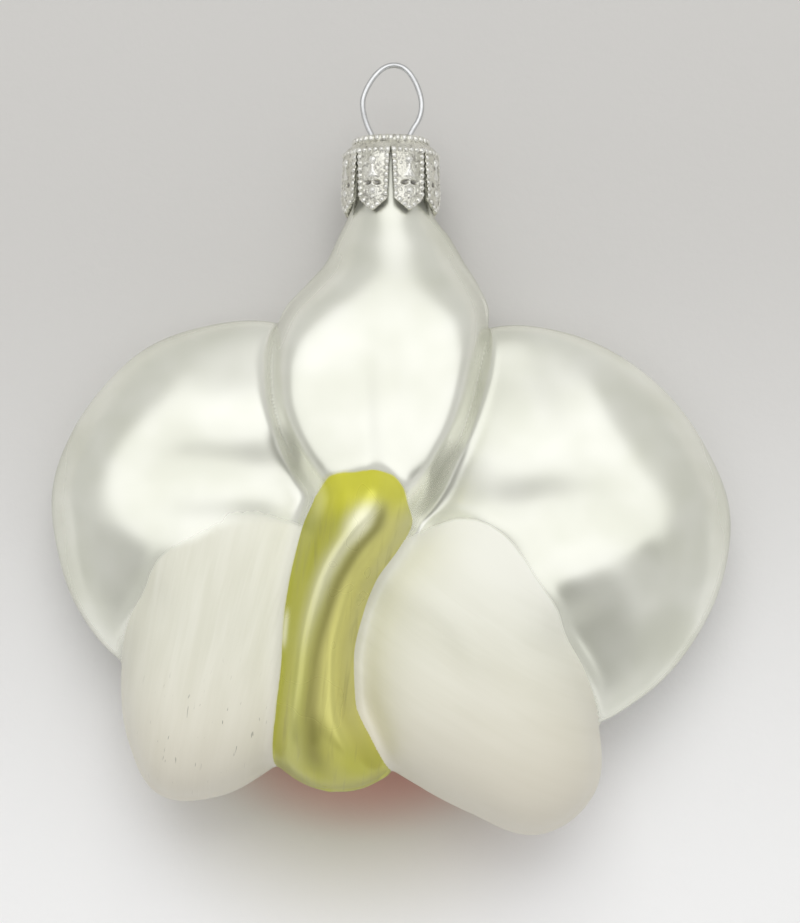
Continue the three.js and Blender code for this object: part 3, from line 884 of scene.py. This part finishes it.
def bloom_masks(points):
    """Numbers per point for the bloom's material: by how much a painted lobe is the highest,
    the brush strokes' directions, and where flecks, rose, lip tones and shades lie."""
    x, y, z = points.T
    in_front = y < middle_y(x, z)
    front = bloom_heights(x, z, 0.0, "front")
    back = bloom_heights(x, z, 0.0, "back")
    petals, upper, lower, lip = [np.where(in_front, f, b) for f, b in zip(front, back)]
    rest = np.maximum(np.maximum(petals, upper), lower)
    u = strand_place(LIP, x, z, 0.0)
    # away from the lip all heights fall to nothing at the rim, and no lip paint goes there
    near_lip = (np.abs(u) < 1.25) & (z < -50) & (z > -95)
    lip_edge = np.where((lip > 0.05) | near_lip, np.clip(lip - rest, -4, 4), -4)
    # brush strokes go down the axis of each lower sepal and down the lip
    sepal_left = petal_height(SEPAL_LEFT, x, z, 0.0, "front")
    on_left = sepal_left > petal_height(SEPAL_RIGHT, x, z, 0.0, "front")
    axis = np.where(on_left, math.radians(246), math.radians(302))
    axis = axis + 0.006 * (x + 5) * np.where(on_left, -1, 1)
    axis = np.where(lip > rest, math.radians(264), axis)
    # the lip's pale crest and fold shade, and two painted highlights: a spot at the crest's top and a
    # streak by the left edge
    u = np.clip(u, -1.5, 1.5)
    crest, fold, width = [along(LIP_FOLD, k, z) for k in (1, 2, 3)]
    level = soft_step((-56 - z) / 3) * soft_step((z + 93) / 5)
    foot = 1 - 0.75 * soft_step((-82 - z) / 9)
    # the pale crest is lacquer worn thin and a painted highlight, weaker towards the foot
    crest_wear_and_highlight = 0.3 + 0.7 * soft_step((z + 78) / 14)
    highlight_spot = bell((x + 3.6) / 1.9) * bell((z + 59.0 - 0.5 * (x + 3.6)) / 1.8)
    highlight_streak = 0.85 * bell((u + 0.8) / 0.07) * bell(((z + 72.6) / 2.2) ** 2)
    # painted shade beside the midrib, and the crease beside the upper sepal
    aside = from_midrib(x, z)
    shade = bell((aside - 3.6) / 2.2) + 0.3 * bell((aside + 1.1) / 0.7)
    pool = bell((upper - petals - 1.8) / 3.4) * soft_step((z + 52) / 6) * soft_step((-35 - z) / 5)
    return {
        "lip_edge": lip_edge,
        "lower_edge": np.clip(lower - np.maximum(petals, upper), -4, 4),
        "stroke_along": x * np.cos(axis) + z * np.sin(axis),
        "stroke_across": z * np.cos(axis) - x * np.sin(axis),
        "fleck": bell((x + 23) / 8) * bell((z + 86) / 6),
        "rose": ~in_front * soft_step((-66 - z) / 12) * bell(((x + 3) / 19) ** 2),
        "lip_inner": foot * soft_step((u - crest) / 0.5),
        "lip_crest_wear_and_highlight": level * crest_wear_and_highlight * bell((u - crest) / 0.24),
        "lip_top": soft_step((z + 60) / 4),
        "lip_painted_highlight": np.clip(highlight_spot + highlight_streak, 0, 1),
        # painted shade along the lip's lower rim and in its fold
        "lip_rim_painted_shade": soft_step((-85 - z) / 4) * bell(lip / 2.2),
        "lip_olive_and_fold_shade": level * bell((u - fold) / (0.75 * width)),
        "crease": in_front * pool,
        "rib_shade": shade * soft_step((-33 - z) / 6) * soft_step((z + 55) / 5),
    }


class ORNAMENT_OT_bloom(bpy.types.Operator):
    """Build the hollow glass bloom with its neck"""

    bl_idname = "ornament.bloom"
    bl_label = "Glass bloom"

    def execute(self, context):
        scene = context.scene
        points, quads, triangles = bloom_mesh(in_millimetres(scene.ornament_sizes.glass_wall))
        glass = lacquered_glass(scene.ornament_look)
        piece = make_piece("bloom_glass", points, quads, triangles, glass)
        add_masks(piece, bloom_masks(points))
        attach(piece, "root")
        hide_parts("glass_bloom")
        return {"FINISHED"}


def tab_half_width(z):
    """Half of a tab's width: narrowing slowly from the band, then to a gothic point."""
    straight = 2.34 - 0.3 * (TAB_TOP - z) / (TAB_TOP - TAB_SHOULDER)
    t = np.clip((TAB_SHOULDER - z) / (TAB_SHOULDER - TAB_TIP), 0, 1)
    return np.where(z > TAB_SHOULDER, straight, 2.04 * (1 - t ** 1.15))


def tab_beads():
    """Round beads and bosses of a tab: place aside from its middle, height, radius."""
    border = [(2.0 - 0.022 * k, TAB_FIRST_BEAD - 0.82 * k, TAB_BEAD) for k in range(8)]
    point = [(1.32, -18.15, TAB_BEAD), (0.66, -18.72, TAB_BEAD)]
    top_row = [(0.4, TAB_FIRST_BEAD, 0.32), (1.2, TAB_FIRST_BEAD, 0.32), (2.05, TAB_FIRST_BEAD, 0.42)]
    small = [(1.12, -13.4, 0.2), (1.2, -16.9, 0.2)]
    middle = [(0.0, -12.95, 0.56), (0.0, -16.95, 0.52), (0.0, -17.75, 0.24), (0.0, -19.08, TAB_BEAD)]
    pairs = border + point + top_row + small
    return middle + [(side * at, z, radius) for side in (-1, 1) for at, z, radius in pairs]


def tab_relief(aside, z):
    """Height of the stamping on a tab at a place (aside from its middle, height): the highest of
    its raised panel, round beads and flared stem, less two small dents with raised rims, plus a
    thin ring round the lower boss."""
    panel = tab_half_width(z) - 0.72
    height = 0.05 * soft_step((panel - np.abs(aside)) / 0.12) * soft_step((-12.1 - z) / 0.15)
    for at, level, radius in tab_beads():
        bead = radius * radius - (aside - at) ** 2 - (z - level) ** 2
        height = np.maximum(height, 0.78 * np.sqrt(np.clip(bead, 0, None)))
    flare = 0.16 + 0.75 * soft_step((-13.3 - z) / 2.0) ** 2
    ends = soft_step((-13.2 - z) / 0.3) * soft_step((z + 15.3) / 0.25)
    height = np.maximum(height, 0.22 * bell((aside / flare) ** 2) * ends)
    for side in (-1, 1):
        dent = ((aside - side * 0.64) / 0.5) ** 2 + ((z + 15.8 + 0.15 * side * aside) / 0.3) ** 2
        rim = bell((np.sqrt(dent) - 1.45) / 0.25) * (np.abs(aside) < 1.5)
        height = height - 0.26 * bell(dent) + 0.07 * rim
    ring = bell((np.hypot(aside, z + 16.95) - 0.78) / 0.1)
    return height + 0.06 * ring * (z > -18.0)


def round_z(radius, angle, z):
    """Points at a radius and an angle about Z, from -Y towards +X, at a height."""
    return np.stack(np.broadcast_arrays(radius * np.sin(angle), -radius * np.cos(angle), z), axis=-1)


def cap_mesh(sheet):
    """The stamped sheet. A disc and band turned about Z (radius by height) carry beads at the
    rim; below the band the sheet is cut to tabs, each a grid of place across and height.
    The inner face is the same sheet one thickness further in. Returns the relief as well."""
    across = 46
    columns = across * TAB_COUNT
    turn = 2 * np.pi / TAB_COUNT
    angle = np.arange(columns) / across * turn
    # disc and band, from the middle outwards and down to the tabs
    disc_r = np.concatenate([np.linspace(0.4, 4.5, 8), [4.65, 4.74, 4.8]])
    disc_z = CAP_TOP - np.concatenate([np.zeros(8), [0.02, 0.07, 0.14]])
    band_z = np.linspace(CAP_TOP - 0.2, TAB_TOP, 22)
    face_r = np.concatenate([disc_r, along(CAP_FACE, 1, band_z)])[:, None]
    face_z = np.concatenate([disc_z, band_z])[:, None]
    pitch = 2 * np.pi / RIM_BEADS
    aside = 4.9 * pitch * (np.mod(angle / pitch + 0.5, 1) - 0.5)
    bead = RIM_BEAD_RADIUS ** 2 - aside ** 2 - (0.85 * (face_z - RIM_BEAD_Z)) ** 2
    beads = 0.9 * np.sqrt(np.clip(bead, 0, None)) * (face_z < CAP_TOP - 0.1)
    top = round_z(face_r + beads, angle, face_z)
    under_r = np.clip(face_r - sheet * soft_step((face_r - 3.5) / 1.4), 0.4, None)
    under = round_z(under_r, angle, np.minimum(face_z, CAP_TOP - sheet))
    middle = np.array([[0, 0, CAP_TOP], [0, 0, CAP_TOP - sheet]])
    points = [middle, top.reshape(-1, 3), under.reshape(-1, 3)]
    relief = [np.zeros(2), beads.ravel(), np.zeros(beads.size)]
    top_index = 2 + np.arange(beads.size).reshape(beads.shape)
    under_index = top_index + beads.size
    quads = [grid_quads(top_index, True, False), grid_quads(under_index, True, True)]
    triangles = [fan(top_index[0], 0, False), fan(under_index[0], 1, True)]
    # tabs, each curled in or out a little, joined to the band's last row and closed at their edges
    straight = np.linspace(TAB_TOP, TAB_SHOULDER, 66)[1:]
    pointed = np.linspace(TAB_SHOULDER, TAB_TIP + 0.03, 18)[1:]
    z = np.concatenate([straight, pointed])[:, None]
    aside = np.linspace(-1, 1, across + 1) * tab_half_width(z)
    tab_r = along(CAP_FACE, 1, z)
    raised = tab_relief(aside, z)
    outer_index = 2 + 2 * beads.size + np.arange(raised.size).reshape(raised.shape)
    for k in range(TAB_COUNT):
        at = (k + 0.5) * turn + aside / tab_r
        curl = 0.12 * np.sin(2.4 * k + 0.7) * ((TAB_TOP - z) / 8) ** 2
        outer = round_z(tab_r + raised + curl, at, z)
        inner = round_z(tab_r - sheet + curl, at, z)
        points += [outer.reshape(-1, 3), inner.reshape(-1, 3)]
        relief += [raised.ravel(), np.zeros(raised.size)]
        joint = np.mod(k * across + np.arange(across + 1), columns)
        outer_rows = np.vstack([top_index[-1][joint], outer_index])
        inner_rows = np.vstack([under_index[-1][joint], outer_index + raised.size])
        quads += [grid_quads(outer_rows, False, False), grid_quads(inner_rows, False, True)]
        edges = [
            np.concatenate([rows[:-1, 0], rows[-1], rows[-2::-1, -1]])
            for rows in (outer_rows, inner_rows)
        ]
        quads.append(grid_quads(np.stack(edges), False, False))
        outer_index = outer_index + 2 * raised.size
    return [np.concatenate(group) for group in (points, quads, triangles, relief)]


class ORNAMENT_OT_cap(bpy.types.Operator):
    """Build the stamped crown cap"""

    bl_idname = "ornament.cap"
    bl_label = "Crown cap"

    def execute(self, context):
        scene = context.scene
        points, quads, triangles, relief = cap_mesh(in_millimetres(scene.ornament_sizes.cap_sheet))
        metal = stamped_metal(scene.ornament_look)
        piece = make_piece("crown_cap_stamped", points, quads, triangles, metal)
        add_masks(piece, {"relief": relief})
        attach(piece, "root")
        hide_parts("crown_cap")
        return {"FINISHED"}


def smooth_line(keys, count):
    """Centripetal Catmull-Rom curve through keys, read at even steps of its length."""
    ends = [2 * keys[0] - keys[1], *keys, 2 * keys[-1] - keys[-2]]
    p = np.array(ends)
    knots = np.concatenate([[0], np.cumsum(np.sqrt(np.linalg.norm(np.diff(p, axis=0), axis=1)))])
    t = np.linspace(knots[1], knots[-2] - 1e-9, 4000)
    i = np.clip(np.searchsorted(knots, t, side="right") - 1, 1, len(p) - 3)

    def between(a, b, ta, tb):
        w = ((t - ta) / (tb - ta))[:, None]
        return a * (1 - w) + b * w

    t0, t1, t2, t3 = knots[i - 1], knots[i], knots[i + 1], knots[i + 2]
    a1 = between(p[i - 1], p[i], t0, t1)
    a2 = between(p[i], p[i + 1], t1, t2)
    a3 = between(p[i + 1], p[i + 2], t2, t3)
    line = between(between(a1, a2, t0, t2), between(a2, a3, t1, t3), t1, t2)
    run = np.concatenate([[0], np.cumsum(np.linalg.norm(np.diff(line, axis=0), axis=1))])
    even = np.linspace(0, run[-1], count)
    return np.stack([np.interp(even, run, line[:, k]) for k in range(line.shape[1])], axis=-1), even


def wire_mesh(wire_radius):
    """A round section carried along the wire's line: centre plus radius times the sum of the
    line's in-plane normal by cosine and Y by sine, drawn in to a small bevel at each end.
    Returns the place along and around the wire as well."""
    steps, sides = 360, 20
    bevel = 0.2
    line, run = smooth_line(WIRE_LINE, steps)
    tangent = np.gradient(line, axis=0)
    tangent /= np.linalg.norm(tangent, axis=1)[:, None]
    normal = np.stack([-tangent[:, 1], np.zeros(steps), tangent[:, 0]], axis=-1)
    centre = np.stack([line[:, 0], np.zeros(steps), line[:, 1]], axis=-1)
    spin = 2 * np.pi * np.arange(sides) / sides
    to_end = np.clip(1 - np.minimum(run, run[-1] - run) / bevel, 0, 1)
    radius = wire_radius * np.sqrt(np.clip(1 - to_end ** 2 * 0.6, 0.01, 1))
    ring = np.cos(spin)[None, :, None] * normal[:, None, :]
    ring = ring + np.sin(spin)[None, :, None] * np.array([0.0, 1.0, 0.0])
    body = centre[:, None, :] + radius[:, None, None] * ring
    points = np.concatenate([centre[:1], body.reshape(-1, 3), centre[-1:]])
    index = 1 + np.arange(steps * sides).reshape(steps, sides)
    ends = [fan(index[0], 0, True), fan(index[-1], len(points) - 1, False)]
    along_wire = np.concatenate([[0.0], np.repeat(run, sides), [run[-1]]])
    around = np.concatenate([[0.0], np.tile(np.sin(spin) * 2, steps), [0.0]])
    return points, grid_quads(index, True, True), np.concatenate(ends), along_wire, around


class ORNAMENT_OT_wire(bpy.types.Operator):
    """Build the wire loop with its two legs in the neck"""

    bl_idname = "ornament.wire"
    bl_label = "Wire loop"

    def execute(self, context):
        scene = context.scene
        radius = in_millimetres(scene.ornament_sizes.wire_radius)
        points, quads, triangles, along_wire, around = wire_mesh(radius)
        steel = drawn_wire(scene.ornament_look)
        piece = make_piece("wire_loop", points, quads, triangles, steel)
        add_masks(piece, {"along": along_wire, "around": around})
        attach(piece, "root")
        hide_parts("wire_hanger")
        return {"FINISHED"}


def paper_sweep(look):
    """The paper, a line carried across x: straight down behind the ornament, then a quarter turn
    forward to the floor."""
    bend = np.linspace(0, np.pi / 2, 25)
    y = np.concatenate([[PAPER_Y, PAPER_Y], PAPER_Y - PAPER_BEND * (1 - np.cos(bend)), [-600.0]])
    z = np.concatenate([[700.0, -300.0], -500.0 - PAPER_BEND * np.sin(bend), [-700.0]])
    x = np.linspace(-900, 900, 3)[:, None]
    grid = np.stack(np.broadcast_arrays(x, y, z), axis=-1)
    index = np.arange(len(x) * len(y)).reshape(len(x), len(y))
    quads, triangles = grid_quads(index, False, True), np.zeros((0, 3), int)
    paper = make_piece("paper_sweep", grid.reshape(-1, 3), quads, triangles, stage_paper(look))


def soft_light(name, size, place, target, power, tint):
    """A rectangular lamp at a place, turned to face a target."""
    data = bpy.data.lights.new(name, "AREA")
    data.shape = "RECTANGLE"
    data.size, data.size_y = size
    data.energy = power
    data.color = tint
    lamp = bpy.data.objects.new(name, data)
    bpy.context.scene.collection.objects.link(lamp)
    aim = np.array(target) - np.array(place)
    lamp.location = place
    flat = math.hypot(aim[0], aim[1])
    lamp.rotation_euler = (math.atan2(flat, -aim[2]), 0.0, math.atan2(-aim[0], aim[1]))
    return lamp


def room_light():
    """Surroundings by direction: a broad bright ceiling in front, a darker patch a little below
    the camera where the photographer stands, a pale table under it all and a mid grey room to
    the sides."""
    world = bpy.data.worlds.new("soft_room")
    bpy.context.scene.world = world
    world.use_nodes = True
    world.node_tree.nodes.clear()
    n = Nodes(world.node_tree)
    x, y, z = n.split(n.add("ShaderNodeTexCoord").outputs["Generated"])
    above = n.times(n.times(n.math("MAXIMUM", z, 0.0), 0.5), n.less(1.0, n.math("ABSOLUTE", x)))
    above = n.times(above, n.ramp(y, -0.4, -0.75))
    ceiling = n.ramp(n.less(above, y), 0.55, 0.9)
    near = n.times(n.ramp(x, -0.95, -0.55), n.ramp(x, 0.75, 0.4))
    dark = n.times(n.times(n.ramp(z, -0.1, -0.45), near), n.ramp(y, -0.15, -0.5))
    table = n.times(n.ramp(y, -0.5, -0.1), n.ramp(z, -0.2, -0.5))
    level = n.mix(ceiling, (0.52, 0.52, 0.505), (1.14, 1.14, 1.14))
    level = n.mix(table, level, (0.66, 0.66, 0.64))
    level = n.mix(dark, level, (0.22, 0.22, 0.205))
    background = n.add("ShaderNodeBackground")
    n.fill(background, {"Color": level, "Strength": 1.0})
    n.link(background.outputs[0], n.add("ShaderNodeOutputWorld").inputs["Surface"])


def photo_camera(scene):
    """The camera, level and square to the bloom's face, where the photograph was taken from."""
    data = bpy.data.cameras.new("camera")
    camera = bpy.data.objects.new("camera", data)
    scene.collection.objects.link(camera)
    data.lens = CAMERA_LENS
    data.sensor_width = 36.0
    data.clip_start = 0.01
    camera.location = CAMERA_PLACE
    camera.rotation_euler = (math.pi / 2, 0.0, 0.0)
    scene.camera = camera
    scene.view_settings.view_transform = "Standard"


class ORNAMENT_OT_stage(bpy.types.Operator):
    """Set the paper sweep, the light and the camera"""

    bl_idname = "ornament.stage"
    bl_label = "Stage"

    def execute(self, context):
        paper_sweep(context.scene.ornament_look)
        room_light()
        warm_white = (1.0, 0.995, 0.985)
        lamp = soft_light("overhead", (0.6, 0.5), (0.0, -0.7, 0.45), (0, 0, -0.05), 2.6, warm_white)
        lamp.visible_glossy = False
        photo_camera(context.scene)
        return {"FINISHED"}


class ORNAMENT_PT_panel(bpy.types.Panel):
    """Builds the ornament piece by piece"""

    bl_idname = "ORNAMENT_PT_panel"
    bl_label = "Glass ornament"
    bl_space_type = "VIEW_3D"
    bl_region_type = "UI"
    bl_category = "Ornament"

    def draw(self, context):
        for group in (context.scene.ornament_sizes, context.scene.ornament_look):
            for key in type(group).__annotations__:
                self.layout.prop(group, key)
        for step in STEPS:
            self.layout.operator(step.bl_idname)


STEPS = (ORNAMENT_OT_bloom, ORNAMENT_OT_cap, ORNAMENT_OT_wire, ORNAMENT_OT_stage)
CLASSES = (OrnamentSizes, OrnamentLook, *STEPS, ORNAMENT_PT_panel)


def register():
    for item in CLASSES:
        bpy.utils.register_class(item)
    bpy.types.Scene.ornament_sizes = bpy.props.PointerProperty(type=OrnamentSizes)
    bpy.types.Scene.ornament_look = bpy.props.PointerProperty(type=OrnamentLook)


def unregister():
    del bpy.types.Scene.ornament_look
    del bpy.types.Scene.ornament_sizes
    for item in reversed(CLASSES):
        bpy.utils.unregister_class(item)


def main():
    register()
    bpy.ops.ornament.bloom()
    bpy.ops.ornament.cap()
    bpy.ops.ornament.wire()
    bpy.ops.ornament.stage()


if __name__ == "__main__":
    main()
